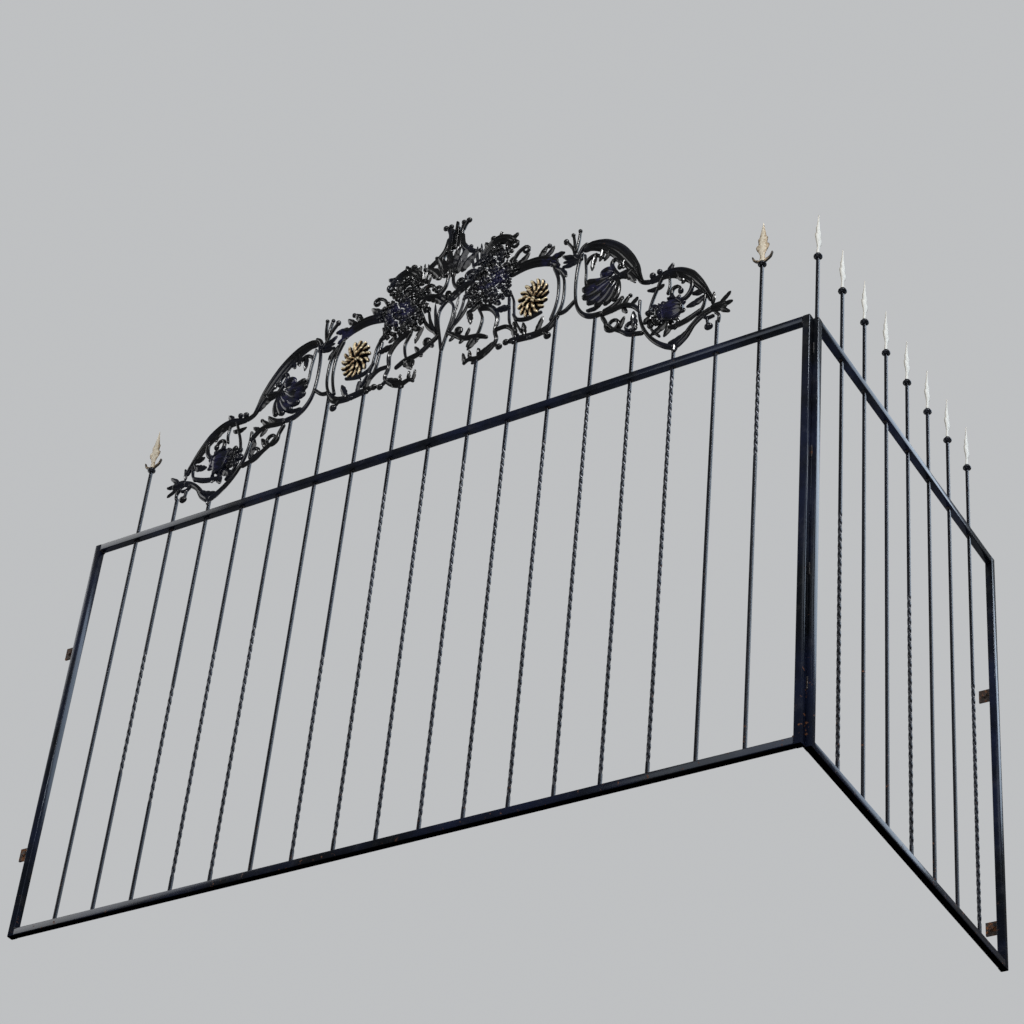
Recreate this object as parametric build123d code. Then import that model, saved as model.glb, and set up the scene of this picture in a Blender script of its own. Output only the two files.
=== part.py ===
from build123d import *
import os
from math import atan2, cos, hypot, pi, sin

# Corner balcony grille: a long front panel and a short side panel of square tube with square
# bars, under an arched crest of cast scrolls, leaves and rosettes. Bars beside the crest and
# along the side end in spear heads. Lengths are in millimetres.
# While it is drawn, x is 0 at the middle front bar, y is 0 at the front face of the tubes and
# z is 0 under the bottom rails. The last step centres the part over the floor.

# Driving dimensions of the two panels
FRONT_WIDTH = 2200.0
SIDE_LENGTH = 1070.0
PANEL_HEIGHT = 1230.0
TUBE = 20.0
SIDE_OFFSET = 14.0
FRONT_BAR_COUNT = 17
SIDE_BAR_COUNT = 7
BAR = 8.0

# Spear heads: height of the collar over the rail, and the blade
SIDE_SPEAR_RISE = 205.0
FRONT_SPEAR_RISE = 222.0
COLLAR_HEIGHT = 15.0
COLLAR_ACROSS = 23.0
COLLAR_NECK = 15.0
COLLAR_RIM = 6.0
COLLAR_SIDES = 8
BLADE_LENGTH = 135.0
BLADE_WIDTH = 38.0
BLADE_THICKNESS = 5.0
SPEAR_LEAF_REACH = 29.0
SPEAR_LEAF_RISE = 26.0
SPEAR_LEAF_WIDTH = 9.0
SPEAR_LEAF_BEND = 6.0

# Outline of the blade: shares of its length, and of its half width there. It has a foot, a belly
# and a step under the long point.
BLADE_SHARES = ((0.0, 0.33), (0.12, 0.24), (0.4, 1.0), (0.46, 0.66), (0.58, 0.76), (0.64, 0.52))

# Wall lugs: flat plates welded flush with the back of the end stiles
LUG_REACH = 34.0
LUG_HEIGHT = 36.0
LUG_THICKNESS = 5.0
LUG_HOLE_RADIUS = 4.5
FRONT_LUG_HEIGHTS = (250.0, 880.0)
SIDE_LUG_HEIGHTS = (120.0, 800.0)

# Cast crest: depth of the castings, and of the flowers before and behind the middle of the tubes
CREST_THICKNESS = 12.0
FLOWER_FRONT = 16.0
FLOWER_BACK = 8.0

# Cast crest: widths of its stems and leaves
FINE_STEM = 9.0
STEM = 13.0
BASE_BAND = 22.0
WREATH_BAND = 38.0
LARGE_ACANTHUS = 44.0
SMALL_ACANTHUS = 37.0
BUD_WIDTH = 32.0
CROWN_PRONG = 17.0
SMALL_LEAF = 16.0
LEAF = 22.0
BROAD_LEAF = 30.0
ROSETTE_HALF = (47.0, 63.0)
SMALL_ROSE_HALF = (29.0, 35.0)
LARGE_ROSE_HALF = (38.0, 42.0)
BALL = 9.0

# The crest's points are drawn over bars 120 mm apart and up to a crown at 752 mm. They are
# spread over the real pitch and the real height of the crown.
DRAWN_PITCH = 120.0
DRAWN_CROWN = 752.0
CROWN_TOP = 790.0

# A leaf is widest at this share of its length, and its root has this share of its width
LEAF_BELLY = 0.4
LEAF_ROOT = 0.4

# Shapes of a stem: its width at the start, the middle and the end, as shares of the full width
EVEN = (1.0, 1.0, 1.0)
TAPER = (1.0, 0.85, 0.65)
SWELL = (0.55, 1.0, 0.6)
ACANTHUS = (0.3, 1.0, 0.34)
BUD = (0.7, 1.0, 0.6)

# Places worked out from the driving dimensions
FRONT_PITCH = (FRONT_WIDTH - 2 * TUBE) / (FRONT_BAR_COUNT + 1)
SIDE_PITCH = (SIDE_LENGTH - 2 * TUBE) / (SIDE_BAR_COUNT + 1)
RIGHT = FRONT_WIDTH / 2
SIDE_OUTER = RIGHT + SIDE_OFFSET
SIDE_END = TUBE + SIDE_LENGTH
MIDDLE = TUBE / 2
MIDDLE_BAR = (FRONT_BAR_COUNT + 1) // 2
ACROSS = FRONT_PITCH / DRAWN_PITCH
UP = CROWN_TOP / DRAWN_CROWN


def block(low, high):
    """A box between two corners."""
    size = [b - a for a, b in zip(low, high)]
    return Pos(*low) * Box(*size, align=(Align.MIN, Align.MIN, Align.MIN))


def bar(x, y, low, high):
    """A plain square bar standing at x, y."""
    return block((x - BAR / 2, y - BAR / 2, low), (x + BAR / 2, y + BAR / 2, high))


def front_bar_x(number):
    return (number - MIDDLE_BAR) * FRONT_PITCH


def side_bar_y(number):
    return 2 * TUBE + number * SIDE_PITCH


# Outlines of the crest. Each is a closed shape in the plane of the front panel, with u across
# from the middle bar and v up from the top rail.

def polygon(points):
    return make_face(Polyline(*points, close=True))


def placed(points):
    """Points of the drawing, spread over the real pitch and height."""
    return [(u * ACROSS, v * UP) for u, v in points]


def oval(centre, half, sides=14):
    """An oval of straight facets."""
    (u, v), = placed([centre])
    turns = [2 * pi * k / sides for k in range(sides)]
    return polygon([(u + half[0] * cos(turn), v + half[1] * sin(turn)) for turn in turns])


def pointed(root, tip, width, bend):
    """A pointed leaf between two real points. Its middle line bows sideways by bend."""
    length = hypot(tip[0] - root[0], tip[1] - root[1])
    along = ((tip[0] - root[0]) / length, (tip[1] - root[1]) / length)
    across = (-along[1], along[0])

    def point(share, side):
        bow = 4 * share * (1 - share) * bend + side
        return (root[0] + along[0] * length * share + across[0] * bow,
                root[1] + along[1] * length * share + across[1] * bow)

    half = width / 2
    root_half = half * LEAF_ROOT
    return polygon([point(0.0, -root_half), point(LEAF_BELLY, -half), point(1.0, 0.0),
                    point(LEAF_BELLY, half), point(0.0, root_half)])


def leaf(root, tip, width, bend=0.0):
    return pointed(*placed([root, tip]), width, bend)


def fan(root, tips, width):
    """Leaves that spread from one root."""
    return [leaf(root, tip, width) for tip in tips]


def smooth(points):
    """Points of the curve through the given ones, with one more half way along each span."""
    ends = [points[0]] + points + [points[-1]]
    line = []
    for span in zip(ends, ends[1:], ends[2:], ends[3:]):
        line.append(span[1])
        line.append(tuple((9 * (b + c) - a - d) / 16 for a, b, c, d in zip(*span)))
    return line + [points[-1]]


def stem(points, width, shape=EVEN):
    """A band along a curve. Its width runs through the three shares of its shape."""
    line = smooth(placed(points))
    left, right = [], []
    for k, (u, v) in enumerate(line):
        before, after = line[max(k - 1, 0)], line[min(k + 1, len(line) - 1)]
        turn = atan2(after[1] - before[1], after[0] - before[0])
        share = 2 * k / (len(line) - 1)
        part = int(min(share, 1.0))
        half = width / 2 * (shape[part] + (shape[part + 1] - shape[part]) * (share - part))
        left.append((u - half * sin(turn), v + half * cos(turn)))
        right.append((u + half * sin(turn), v - half * cos(turn)))
    return polygon(left + right[::-1])


def ball(centre, scale=1.0):
    return oval(centre, (BALL * scale, BALL * scale), 8)


def both_sides(faces):
    return faces + [mirror(face, about=Plane.YZ) for face in faces]


def middle_outlines():
    """The teardrop loop, the leaf body over it and the crown of three prongs."""
    return {
        "teardrop": both_sides([
            stem([(0, 292), (12, 350), (23, 405), (21, 440), (0, 466)], FINE_STEM),
            leaf((14, 348), (36, 470), SMALL_LEAF, -5), leaf((16, 358), (58, 464), SMALL_LEAF, -8),
            leaf((16, 356), (78, 458), SMALL_LEAF, -10)]),
        "leaf_body": both_sides([
            stem([(5, 566), (13, 524), (34, 500), (62, 508), (88, 540)], STEM),
            ball((38, 516)), leaf((0, 468), (44, 494), LEAF, 5), leaf((10, 464), (78, 502), LEAF, 8),
            leaf((10, 545), (24, 655), BROAD_LEAF, 6), leaf((20, 545), (56, 640), BROAD_LEAF, 4),
            leaf((48, 512), (86, 610), BROAD_LEAF), leaf((62, 512), (108, 574), BROAD_LEAF)]) +
            [oval((0, 482), (11, 20), 10)],
        "pinnacle": both_sides([
            stem([(15, 636), (19, 690), (21, 736)], 1.2 * CROWN_PRONG, TAPER),
            stem([(20, 712), (30, 735), (38, 741)], FINE_STEM), ball((38, 742)),
            stem([(22, 700), (32, 656), (54, 630), (82, 610)], CROWN_PRONG, BUD)]) +
            [stem([(0, 645), (0, 700), (0, 752)], CROWN_PRONG, TAPER)],
    }


def wreath_outlines():
    """The egg-shaped wreath with its rosette, and the lower scroll and the bunch beside it."""
    return {
        "ring": [
            stem([(205, 402), (213, 350), (218, 310), (230, 280), (250, 250)], STEM),
            stem([(340, 454), (360, 405), (366, 350), (363, 310), (352, 268)], STEM),
            stem([(214, 248), (250, 244), (300, 240), (340, 250), (363, 284)], BASE_BAND, BUD),
            stem([(221, 338), (238, 313), (272, 304), (314, 312)], STEM, SWELL),
            leaf((240, 258), (230, 312), LEAF), leaf((300, 252), (318, 292), LEAF),
            ball((209, 247)), ball((337, 222), 1.2), stem([(320, 246), (333, 227)], STEM),
            stem([(358, 284), (382, 284), (416, 306)], STEM), leaf((336, 448), (380, 402), LEAF, 4)],
        "lower_scroll": [
            stem([(104, 402), (148, 386), (172, 346), (169, 300), (176, 266)], STEM, TAPER),
            stem([(176, 268), (152, 238), (122, 225), (94, 232), (77, 222)], 1.4 * STEM, SWELL),
            stem([(166, 260), (184, 243)], FINE_STEM), ball((188, 241)),
            leaf((82, 222), (75, 258), SMALL_LEAF), leaf((118, 236), (172, 262), LEAF, -4),
            stem([(10, 354), (40, 334), (72, 312), (118, 302), (146, 288)], STEM, SWELL),
            ball((50, 344), 1.6),
            leaf((124, 306), (88, 262), LEAF, -3), leaf((70, 406), (88, 350), LEAF),
            stem([(108, 398), (123, 362), (118, 322)], FINE_STEM),
            leaf((162, 372), (214, 358), BROAD_LEAF), stem([(164, 302), (204, 302), (234, 272)], STEM)],
        "bouquet": fan((128, 520), [(86, 630), (114, 630), (148, 644), (176, 624)], BROAD_LEAF) +
            fan((150, 500), [(202, 602), (204, 570), (222, 552), (243, 560), (260, 536)], BROAD_LEAF) + [
            oval((140, 560), (46, 48)), oval((140, 470), (66, 70)), oval((178, 420), (32, 28)),
            oval((92, 420), (34, 26)), leaf((186, 440), (214, 402), LEAF),
            stem([(186, 478), (250, 496), (300, 490), (348, 464)], WREATH_BAND, BUD),
            leaf((286, 492), (314, 534), LEAF), leaf((300, 492), (332, 528), LEAF),
            leaf((318, 480), (368, 490), LEAF)],
    }


def large_scroll_outlines():
    """The large scroll with its acanthus, and the spray of buds at its left shoulder."""
    return {
        "large_scroll": [
            stem([(424, 472), (414, 430), (411, 380), (413, 330), (420, 290)], FINE_STEM),
            stem([(420, 294), (438, 258), (466, 238), (506, 234)], 1.3 * STEM, TAPER[::-1]),
            stem([(430, 466), (440, 400), (443, 350), (460, 312)], FINE_STEM),
            stem([(424, 470), (450, 482), (513, 452), (567, 388), (603, 320), (642, 284)],
                 LARGE_ACANTHUS, ACANTHUS),
            leaf((536, 424), (524, 376), LEAF, 3), stem([(558, 396), (554, 378), (564, 352)], STEM),
            leaf((430, 448), (494, 434), LEAF, 5), leaf((462, 448), (460, 392), LEAF),
            leaf((482, 462), (479, 414), LEAF), oval((494, 370), (25, 27), 10),
            oval((488, 326), (50, 32)),
            leaf((520, 330), (546, 256), BROAD_LEAF, 6), leaf((500, 312), (510, 258), LEAF),
            leaf((480, 310), (476, 266), LEAF), leaf((496, 300), (434, 272), BROAD_LEAF, 6),
            stem([(520, 338), (560, 344), (598, 352)], 2 * STEM),
            leaf((540, 342), (594, 296), BROAD_LEAF, 12),
            stem([(498, 236), (530, 243), (562, 266)], STEM, TAPER)],
        "spray": [
            stem([(426, 446), (404, 462), (392, 496), (372, 526)], STEM, TAPER), ball((369, 528)),
            stem([(398, 472), (396, 510), (390, 542)], FINE_STEM),
            stem([(400, 476), (408, 512), (410, 548)], FINE_STEM), leaf((410, 464), (362, 480), LEAF, 5),
            leaf((414, 448), (364, 440), LEAF), stem([(410, 456), (424, 486), (440, 495)], STEM)],
    }


def small_scroll_outlines():
    """The small scroll round its double rose, the link to the large one and the bud at the end."""
    return {
        "small_scroll": [
            stem([(612, 236), (613, 190), (623, 148), (642, 110)], FINE_STEM),
            stem([(641, 114), (668, 78), (698, 54), (726, 42)], 1.2 * STEM),
            stem([(638, 206), (640, 165), (652, 125), (674, 88)], FINE_STEM),
            stem([(718, 42), (750, 66), (772, 96), (800, 118), (826, 128)], 1.5 * STEM),
            stem([(690, 110), (722, 110), (758, 118), (796, 136)], STEM, SWELL),
            leaf((724, 54), (722, 24), LEAF), leaf((702, 60), (770, 92), LEAF, -9),
            stem([(636, 284), (692, 292), (754, 261), (807, 187), (823, 154)], SMALL_ACANTHUS, ACANTHUS),
            ball((645, 300)), ball((666, 304)), leaf((686, 298), (706, 320), LEAF),
            leaf((682, 264), (632, 257), LEAF, 6), stem([(692, 284), (696, 240)], FINE_STEM),
            stem([(666, 284), (676, 250), (686, 200)], FINE_STEM),
            stem([(700, 226), (696, 250), (714, 266), (736, 256), (745, 230), (738, 210)], STEM, TAPER),
            ball((735, 222), 1.4), stem([(766, 256), (768, 216), (757, 190), (724, 190)], STEM),
            leaf((700, 140), (650, 104), BROAD_LEAF, 4), leaf((700, 130), (690, 82), LEAF),
            leaf((803, 180), (750, 158), LEAF, 3), leaf((808, 202), (764, 196), LEAF),
            stem([(804, 196), (800, 150), (786, 126)], FINE_STEM)],
        "link": [
            stem([(500, 228), (528, 232), (562, 236), (592, 224), (616, 196)], STEM),
            stem([(498, 224), (514, 196), (536, 172), (562, 150), (592, 136), (630, 120)], STEM),
            stem([(522, 222), (546, 208), (559, 184), (556, 150)], FINE_STEM),
            leaf((528, 218), (550, 162), LEAF, 3), ball((586, 152), 1.8),
            leaf((606, 142), (596, 204), LEAF), leaf((560, 236), (578, 260), SMALL_LEAF)],
        "end_bud": [
            stem([(816, 130), (845, 127), (868, 130)], BUD_WIDTH, BUD),
            leaf((846, 138), (877, 162), SMALL_LEAF), leaf((852, 130), (884, 129), SMALL_LEAF),
            leaf((846, 118), (877, 96), SMALL_LEAF), leaf((824, 138), (829, 178), SMALL_LEAF),
            stem([(796, 118), (810, 102), (832, 106)], FINE_STEM),
            stem([(810, 106), (815, 72)], FINE_STEM), ball((817, 72), 1.2),
            stem([(832, 114), (845, 98), (842, 76)], FINE_STEM)],
    }


def crest_outlines():
    """Right half and middle of the crest, as lists of outlines, in the order in which one piece
    is seated against the pieces before it."""
    drawn = {
        "rosette": [oval((283, 366), ROSETTE_HALF, 16)],
        "rose": [oval((660, 163), SMALL_ROSE_HALF, 12), oval((706, 166), LARGE_ROSE_HALF)],
    }
    drawn.update(middle_outlines())
    drawn.update(wreath_outlines())
    drawn.update(large_scroll_outlines())
    drawn.update(small_scroll_outlines())
    order = ("rosette", "rose", "teardrop", "leaf_body", "pinnacle", "ring", "large_scroll",
             "small_scroll", "spray", "link", "end_bud", "lower_scroll", "bouquet")
    return {name: drawn[name] for name in order}


def seated(outlines):
    """Each piece of the crest as one flat shape, cut back where it meets the pieces before it."""
    shapes, earlier = {}, None
    for name, faces in outlines.items():
        shape = Sketch() + faces
        shape = shape if earlier is None else shape - earlier
        shapes[name] = shape
        earlier = shape if earlier is None else earlier + shape
    return shapes


def cast(shape, front, back):
    """Gives a flat shape its depth, to the front and back of the middle of the tubes."""
    solid = extrude(shape, front) + extrude(shape, -back)
    return Pos(0, MIDDLE, PANEL_HEIGHT) * (Plane.XZ * solid)


def spear(x, y, foot, turned, side_leaves):
    """A spear head on a stepped collar, seated on the bar's end. Turned, its flat side lies along
    the side panel."""
    neck = extrude(RegularPolygon(COLLAR_NECK / 2, COLLAR_SIDES), COLLAR_HEIGHT)
    rim = extrude(RegularPolygon(COLLAR_ACROSS / 2, COLLAR_SIDES), COLLAR_RIM)
    rim = Pos(0, 0, (COLLAR_HEIGHT - COLLAR_RIM) / 2) * rim
    right = [(across * BLADE_WIDTH / 2, up * BLADE_LENGTH) for up, across in BLADE_SHARES]
    left = [(-across, up) for across, up in right[::-1]]
    flat = Sketch() + polygon(right + [(0, BLADE_LENGTH)] + left)
    if side_leaves:
        for side in (-1, 1):
            tip = (side * SPEAR_LEAF_REACH, SPEAR_LEAF_RISE)
            flat += pointed((0, 0), tip, SPEAR_LEAF_WIDTH, -side * SPEAR_LEAF_BEND)
    head = Pos(0, 0, COLLAR_HEIGHT) * (Plane.XZ * extrude(flat, BLADE_THICKNESS / 2, both=True))
    return Pos(x, y, foot) * Rot(0, 0, 90 if turned else 0) * (neck + rim + head)


def lug(x, side, back, height):
    """A drilled plate beside a stile. Side is -1 where it points to the left."""
    edge = x + side * LUG_REACH
    plate = block((min(x, edge), back - LUG_THICKNESS, height - LUG_HEIGHT / 2),
                  (max(x, edge), back, height + LUG_HEIGHT / 2))
    middle = Pos((x + edge) / 2, back, height)
    drill = middle * Rot(90, 0, 0) * Cylinder(LUG_HOLE_RADIUS, 4 * LUG_THICKNESS)
    return plate - drill


def build():
    parts = {}
    rail_foot = PANEL_HEIGHT - TUBE

    # Crest: the right pieces are mirrored to the left
    shapes = seated(crest_outlines())
    middle = {"teardrop", "leaf_body", "pinnacle"}
    flowers = {"rosette", "rose"}
    half = CREST_THICKNESS / 2
    crest = {}
    for name, shape in shapes.items():
        depth = (FLOWER_FRONT, FLOWER_BACK) if name in flowers else (half, half)
        solid = cast(shape, *depth)
        if name in middle:
            crest["crest_" + name] = solid
        else:
            crest["crest_right_" + name] = solid
            crest["crest_left_" + name] = mirror(solid, about=Plane.YZ)
    parts.update(crest)

    # Front bars: the crest rests on the ones in the middle, and each ends under its casting
    outline = Sketch() + list(shapes.values())
    front_bars = {}
    for step in range(MIDDLE_BAR):
        x, foot = step * FRONT_PITCH, TUBE - PANEL_HEIGHT
        rise = FRONT_SPEAR_RISE if step == MIDDLE_BAR - 1 else CROWN_TOP
        left, right = x - BAR / 2, x + BAR / 2
        shaft = polygon([(left, foot), (right, foot), (right, rise), (left, rise)])
        shaft = (shaft - outline).faces().sort_by(Axis.Y)[0]
        front_bars[step] = cast(shaft, BAR / 2, BAR / 2).solid()
        front_bars[-step] = mirror(front_bars[step], about=Plane.YZ)
    for name, first, last in (("left", 1, 6), ("middle", 7, 11), ("right", 12, FRONT_BAR_COUNT)):
        steps = range(first - MIDDLE_BAR, last - MIDDLE_BAR + 1)
        parts["front_bars_" + name] = Compound([front_bars[step] for step in steps])
    rail_holes = [bar(front_bar_x(number), MIDDLE, rail_foot - 1, PANEL_HEIGHT + 1)
                  for number in range(1, FRONT_BAR_COUNT + 1)]

    # Front frame
    top_rail = block((-RIGHT + TUBE, 0, rail_foot), (RIGHT - TUBE, TUBE, PANEL_HEIGHT))
    parts["front_top_rail"] = top_rail - rail_holes
    parts["front_bottom_rail"] = block((-RIGHT + TUBE, 0, 0), (RIGHT - TUBE, TUBE, TUBE))
    parts["front_left_stile"] = block((-RIGHT, 0, 0), (-RIGHT + TUBE, TUBE, PANEL_HEIGHT))
    parts["front_right_stile"] = block((RIGHT - TUBE, 0, 0), (RIGHT, TUBE, PANEL_HEIGHT))

    # Side frame: it stands behind the front one, a little further out
    inner = SIDE_OUTER - TUBE
    axis = SIDE_OUTER - MIDDLE
    places = [side_bar_y(number) for number in range(1, SIDE_BAR_COUNT + 1)]
    holes = [bar(axis, y, rail_foot - 1, PANEL_HEIGHT + 1) for y in places]
    parts["side_near_stile"] = block((inner, TUBE, 0), (SIDE_OUTER, 2 * TUBE, PANEL_HEIGHT))
    parts["side_far_stile"] = block((inner, SIDE_END - TUBE, 0), (SIDE_OUTER, SIDE_END, PANEL_HEIGHT))
    parts["side_bottom_rail"] = block((inner, 2 * TUBE, 0), (SIDE_OUTER, SIDE_END - TUBE, TUBE))
    side_rail = block((inner, 2 * TUBE, rail_foot), (SIDE_OUTER, SIDE_END - TUBE, PANEL_HEIGHT))
    parts["side_top_rail"] = side_rail - holes
    side_foot = PANEL_HEIGHT + SIDE_SPEAR_RISE
    parts["side_bars"] = Compound([bar(axis, y, TUBE, side_foot).solid() for y in places])
    corner_y = TUBE + MIDDLE
    parts["corner_rod"] = bar(axis, corner_y, PANEL_HEIGHT, side_foot)

    # Spear heads
    heads = [spear(axis, y, side_foot, True, False).solid() for y in [corner_y] + places]
    parts["side_finials"] = Compound(heads)
    for name, number in (("left", 1), ("right", FRONT_BAR_COUNT)):
        foot = PANEL_HEIGHT + FRONT_SPEAR_RISE
        parts["front_%s_finial" % name] = spear(front_bar_x(number), MIDDLE, foot, False, True)

    # Wall lugs
    for level, height in zip(("lower", "upper"), FRONT_LUG_HEIGHTS):
        parts["left_%s_lug" % level] = lug(-RIGHT, -1, TUBE, height)
    for level, height in zip(("lower", "upper"), SIDE_LUG_HEIGHTS):
        parts["side_%s_lug" % level] = lug(inner, -1, SIDE_END, height)
    return parts


# The part is centred over the floor by its own outer sizes
LEFT_EDGE = -RIGHT - LUG_REACH
FRONT_EDGE = MIDDLE - FLOWER_FRONT
CENTRE = Pos(-(LEFT_EDGE + SIDE_OUTER) / 2, -(FRONT_EDGE + SIDE_END) / 2, 0)

os.makedirs("parts", exist_ok=True)
for node, shape in build().items():
    export_step(CENTRE * shape, "parts/%s.step" % node)
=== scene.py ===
import bpy
import numpy as np
from mathutils import Matrix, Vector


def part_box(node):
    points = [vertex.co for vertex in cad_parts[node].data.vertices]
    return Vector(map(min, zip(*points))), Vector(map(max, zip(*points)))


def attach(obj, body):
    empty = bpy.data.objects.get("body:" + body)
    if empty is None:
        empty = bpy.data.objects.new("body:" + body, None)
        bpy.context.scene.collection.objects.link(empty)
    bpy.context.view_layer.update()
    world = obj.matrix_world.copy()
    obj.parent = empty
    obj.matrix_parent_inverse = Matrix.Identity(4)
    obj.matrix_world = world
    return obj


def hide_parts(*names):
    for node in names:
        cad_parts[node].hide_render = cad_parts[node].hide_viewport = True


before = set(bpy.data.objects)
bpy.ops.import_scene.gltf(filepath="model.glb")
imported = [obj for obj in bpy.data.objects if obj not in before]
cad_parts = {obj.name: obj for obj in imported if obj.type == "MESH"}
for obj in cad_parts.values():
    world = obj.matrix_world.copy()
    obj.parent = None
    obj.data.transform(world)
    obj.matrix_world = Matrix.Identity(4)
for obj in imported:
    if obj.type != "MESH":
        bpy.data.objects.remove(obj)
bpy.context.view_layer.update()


# Room for the picture: a pale floor and a pale surround, with large soft lamps. The camera stands
# below and to the right, as in the photograph, so the floor is drawn only from above.

SURROUND = (0.52, 0.53, 0.54, 1.0)
CAMERA_PLACE = (3.2401, -4.7566, -3.0923)
CAMERA_RIGHT = (0.85314, 0.51479, 0.08447)
CAMERA_DOWN = (-0.26055, 0.56076, -0.78592)
CAMERA_AHEAD = (-0.45195, 0.64849, 0.61254)
CAMERA_LENS = 92.6
CAMERA_SENSOR = 36.0
FLOOR_REACH = 60.0
# colour of the floor as it shows in glossy paint
FLOOR_IN_GLOSS = (0.20, 0.20, 0.21, 1.0)
# from this distance to that one the floor passes into the surround
FLOOR_FADE = (2.2, 5.5)
# name, place, aimed at, size in metres, watts, colour
LAMPS = [
    ("lamp_key", (4.2, -2.9, 5.0), (0.0, 0.0, 1.0), 1.3, 200.0, (1.0, 1.0, 1.0)),
    ("lamp_front", (1.5, -5.5, 3.2), (0.0, 0.0, 0.9), 4.0, 80.0, (1.0, 1.0, 1.0)),
    ("lamp_sky", (5.0, 5.6, 6.6), (1.1, 0.0, 1.0), 6.0, 260.0, (0.72, 0.85, 1.0)),
    ("lamp_left", (-5.0, -1.0, 3.0), (-0.5, 0.0, 1.0), 4.0, 70.0, (1.0, 1.0, 1.0)),
    ("lamp_back", (-1.5, 5.0, 3.0), (0.0, 0.0, 1.0), 4.0, 40.0, (1.0, 1.0, 1.0)),
]

scene = bpy.context.scene
scene.view_settings.view_transform = "Standard"


def set_up(name, data, right, up, back, place):
    """Adds the camera or a lamp. It looks away from its back."""
    thing = bpy.data.objects.new(name, data)
    turn = np.eye(4)
    turn[:3] = np.stack([right, up, back, place], axis=1)
    thing.matrix_world = Matrix(turn.tolist())
    scene.collection.objects.link(thing)
    return thing


camera_data = bpy.data.cameras.new("camera")
camera_data.lens = CAMERA_LENS
camera_data.sensor_width = CAMERA_SENSOR
scene.camera = set_up("camera", camera_data, CAMERA_RIGHT, -np.array(CAMERA_DOWN), -np.array(CAMERA_AHEAD),
                      CAMERA_PLACE)

for name, place, target, size, watts, colour in LAMPS:
    lamp_data = bpy.data.lights.new(name, "AREA")
    lamp_data.shape = "DISK"
    lamp_data.size = size
    lamp_data.energy = watts
    lamp_data.color = colour
    back = np.array(place) - np.array(target)
    back = back / np.linalg.norm(back)
    side = np.cross([0.0, 0.0, 1.0], back)
    side = side / np.linalg.norm(side)
    set_up(name, lamp_data, side, np.cross(back, side), back, place)


def new_tree(owner):
    """The emptied node tree of a new material or world."""
    owner.use_nodes = True
    owner.node_tree.nodes.clear()
    return owner.node_tree


def put(tree, kind, **settings):
    """Adds a node. A keyword names a setting of the node, or an input: by its name, or as i with
    its number. An input takes a value, an output to link, or a node, which gives its first output."""
    node = tree.nodes.new(kind)
    for key, value in settings.items():
        if hasattr(node, key):
            setattr(node, key, value)
            continue
        socket = node.inputs[int(key[1:]) if key[1:].isdigit() else key.replace("_", " ")]
        if isinstance(value, bpy.types.Node):
            value = value.outputs[0]
        if isinstance(value, bpy.types.NodeSocket):
            tree.links.new(value, socket)
        else:
            socket.default_value = value
    return node


def blend(tree, share, first, second):
    """The colour between first and second, by a share from 0 to 1."""
    return put(tree, "ShaderNodeMix", data_type="RGBA", i0=share, i6=first, i7=second).outputs[2]


def spread(tree, value, low, high, bottom=0.0, top=1.0):
    """Stretches the value's range from low to high over bottom to top, and holds it there."""
    return put(tree, "ShaderNodeMapRange", Value=value, i1=low, i2=high, i3=bottom, i4=top)


def reckon(tree, operation, first, second=0.0):
    """The result of an operation on one or two numbers, such as ADD or MAXIMUM."""
    return put(tree, "ShaderNodeMath", operation=operation, i0=first, i1=second)


world = bpy.data.worlds.new("surround")
scene.world = world
tree = new_tree(world)
rays = put(tree, "ShaderNodeLightPath").outputs
lit = put(tree, "ShaderNodeBackground", Color=SURROUND, Strength=0.6)
shown = put(tree, "ShaderNodeBackground", Color=SURROUND, Strength=1.0)
glossed = put(tree, "ShaderNodeBackground", Color=SURROUND, Strength=0.20)
soft = put(tree, "ShaderNodeMixShader", i0=rays["Is Glossy Ray"], i1=lit, i2=glossed)
both = put(tree, "ShaderNodeMixShader", i0=rays["Is Camera Ray"], i1=soft, i2=shown)
put(tree, "ShaderNodeOutputWorld", Surface=both)

floor_mesh = bpy.data.meshes.new("floor")
floor_corners = [(x * FLOOR_REACH, y * FLOOR_REACH, 0.0) for x, y in ((-1, -1), (1, -1), (1, 1), (-1, 1))]
floor_mesh.from_pydata(floor_corners, [], [(0, 1, 2, 3)])
floor = bpy.data.objects.new("floor", floor_mesh)
scene.collection.objects.link(floor)
floor_paint = bpy.data.materials.new("floor_paint")
tree = new_tree(floor_paint)
rays = put(tree, "ShaderNodeLightPath").outputs
paleness = blend(tree, rays["Is Glossy Ray"], SURROUND, FLOOR_IN_GLOSS)
matt = put(tree, "ShaderNodeBsdfDiffuse", Color=paleness)
far = put(tree, "ShaderNodeEmission", Color=SURROUND, Strength=1.0)
spot = put(tree, "ShaderNodeTexCoord").outputs["Object"]
away = put(tree, "ShaderNodeVectorMath", operation="LENGTH", i0=spot).outputs["Value"]
fade = spread(tree, away, *FLOOR_FADE)
fade.interpolation_type = "SMOOTHSTEP"
shown_far = reckon(tree, "MULTIPLY", fade, rays["Is Camera Ray"])
blended = put(tree, "ShaderNodeMixShader", i0=shown_far, i1=matt, i2=far)
clear = put(tree, "ShaderNodeBsdfTransparent")
from_below = put(tree, "ShaderNodeNewGeometry").outputs["Backfacing"]
both = put(tree, "ShaderNodeMixShader", i0=from_below, i1=blended, i2=clear)
put(tree, "ShaderNodeOutputMaterial", Surface=both)
floor_mesh.materials.append(floor_paint)


# Square tubes of the two frames: drawn steel tube, 20 mm square with rounded corners, butted and welded, and
# sprayed in a thick black enamel with a blue cast, whose clouds also stand in for sky reflected in the
# tubes, a painted reflection.

TUBE_CORNER = 0.0024
CORNER_STEPS = 5
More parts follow.
